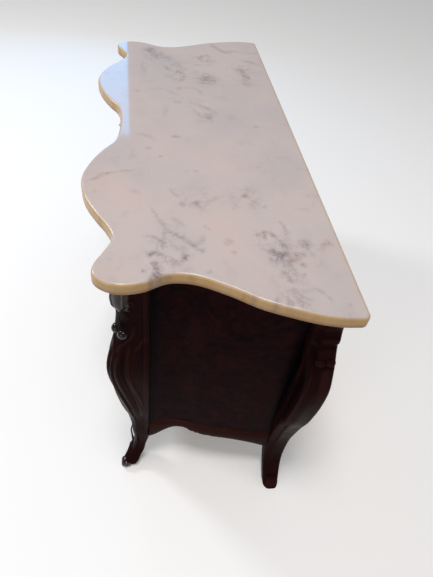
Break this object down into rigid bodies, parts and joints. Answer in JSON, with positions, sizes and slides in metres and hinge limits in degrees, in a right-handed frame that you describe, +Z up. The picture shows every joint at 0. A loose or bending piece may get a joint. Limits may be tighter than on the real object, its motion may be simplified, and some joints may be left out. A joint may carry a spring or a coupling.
{
  "type": "commode chest",
  "caption": "Crossbow-fronted commode chest with a moulded marble top, carved corner posts that run down as cabriole legs, and sliding drawers with bail handles.",
  "frame": {"origin": "on the floor under the middle of the marble top", "axes": "+X along the length to the right-hand end, -Y out of the front where the drawers open, +Z up"},
  "size_m": [1.35, 0.54, 0.78],
  "materials": {
    "marble": "polished, pinkish white with grey and rusty veins, honey coloured edge",
    "mahogany": "dark red mahogany, carved, high gloss polish",
    "veneer": "dark figured veneer, high gloss polish",
    "secondary_wood": "plain sawn softwood and oak, unpolished",
    "brass": "cast brass, polished with darker hollows"
  },
  "bodies": {
    "carcass": {"marble_top": "marble", "front_post_right": "mahogany", "front_post_left": "mahogany", "back_post_right": "mahogany", "back_post_left": "mahogany", "side_panel_right": "veneer", "side_panel_left": "veneer", "side_rail_right": "mahogany", "side_rail_left": "mahogany", "side_apron_right": "mahogany", "side_apron_left": "mahogany", "front_top_rail": "mahogany", "upper_divider": "mahogany", "lower_divider": "mahogany", "front_bottom_rail": "mahogany", "front_apron": "mahogany", "back_panel": "secondary_wood", "back_top_rail": "secondary_wood", "back_bottom_rail": "secondary_wood", "bottom_board": "secondary_wood", "runner_top_right": "secondary_wood", "runner_top_left": "secondary_wood", "runner_middle_right": "secondary_wood", "runner_middle_left": "secondary_wood", "runner_bottom_right": "secondary_wood", "runner_bottom_left": "secondary_wood", "drawer_stop_top": "secondary_wood", "drawer_stop_middle": "secondary_wood", "drawer_stop_bottom": "secondary_wood", "front_glue_block_right": "secondary_wood", "front_glue_block_left": "secondary_wood", "back_glue_block_right": "secondary_wood", "back_glue_block_left": "secondary_wood"},
    "drawer_top": {"drawer_front_top": "veneer", "drawer_side_top_right": "secondary_wood", "drawer_side_top_left": "secondary_wood", "drawer_back_top": "secondary_wood", "drawer_floor_top": "secondary_wood", "handle_plate_top_right": "brass", "handle_plate_top_left": "brass"},
    "bail_top_right": {"bail_top_right": "brass"},
    "bail_top_left": {"bail_top_left": "brass"},
    "drawer_middle": {"drawer_front_middle": "veneer", "drawer_side_middle_right": "secondary_wood", "drawer_side_middle_left": "secondary_wood", "drawer_back_middle": "secondary_wood", "drawer_floor_middle": "secondary_wood", "handle_plate_middle_right": "brass", "handle_plate_middle_left": "brass"},
    "bail_middle_right": {"bail_middle_right": "brass"},
    "bail_middle_left": {"bail_middle_left": "brass"},
    "drawer_bottom": {"drawer_front_bottom": "veneer", "drawer_side_bottom_right": "secondary_wood", "drawer_side_bottom_left": "secondary_wood", "drawer_back_bottom": "secondary_wood", "drawer_floor_bottom": "secondary_wood", "handle_plate_bottom_right": "brass", "handle_plate_bottom_left": "brass"},
    "bail_bottom_right": {"bail_bottom_right": "brass"},
    "bail_bottom_left": {"bail_bottom_left": "brass"}
  },
  "joints": [
    {"name": "drawer_top_slide", "type": "slide", "parent": "carcass", "child": "drawer_top", "axis": [0, -1, 0], "range_m": [0, 0.3]},
    {"name": "bail_top_right_swing", "type": "hinge", "parent": "drawer_top", "child": "bail_top_right", "pos_m": [0.25785, -0.20606, 0.66165], "axis": [-1, 0, 0], "range_deg": [0, 85]},
    {"name": "bail_top_left_swing", "type": "hinge", "parent": "drawer_top", "child": "bail_top_left", "pos_m": [-0.25785, -0.20606, 0.66165], "axis": [-1, 0, 0], "range_deg": [0, 85]},
    {"name": "drawer_middle_slide", "type": "slide", "parent": "carcass", "child": "drawer_middle", "axis": [0, -1, 0], "range_m": [0, 0.3]},
    {"name": "bail_middle_right_swing", "type": "hinge", "parent": "drawer_middle", "child": "bail_middle_right", "pos_m": [0.25785, -0.20606, 0.49296], "axis": [-1, 0, 0], "range_deg": [0, 85]},
    {"name": "bail_middle_left_swing", "type": "hinge", "parent": "drawer_middle", "child": "bail_middle_left", "pos_m": [-0.25785, -0.20606, 0.49296], "axis": [-1, 0, 0], "range_deg": [0, 85]},
    {"name": "drawer_bottom_slide", "type": "slide", "parent": "carcass", "child": "drawer_bottom", "axis": [0, -1, 0], "range_m": [0, 0.3]},
    {"name": "bail_bottom_right_swing", "type": "hinge", "parent": "drawer_bottom", "child": "bail_bottom_right", "pos_m": [0.25785, -0.20606, 0.30541], "axis": [-1, 0, 0], "range_deg": [0, 85]},
    {"name": "bail_bottom_left_swing", "type": "hinge", "parent": "drawer_bottom", "child": "bail_bottom_left", "pos_m": [-0.25785, -0.20606, 0.30541], "axis": [-1, 0, 0], "range_deg": [0, 85]}
  ]
}
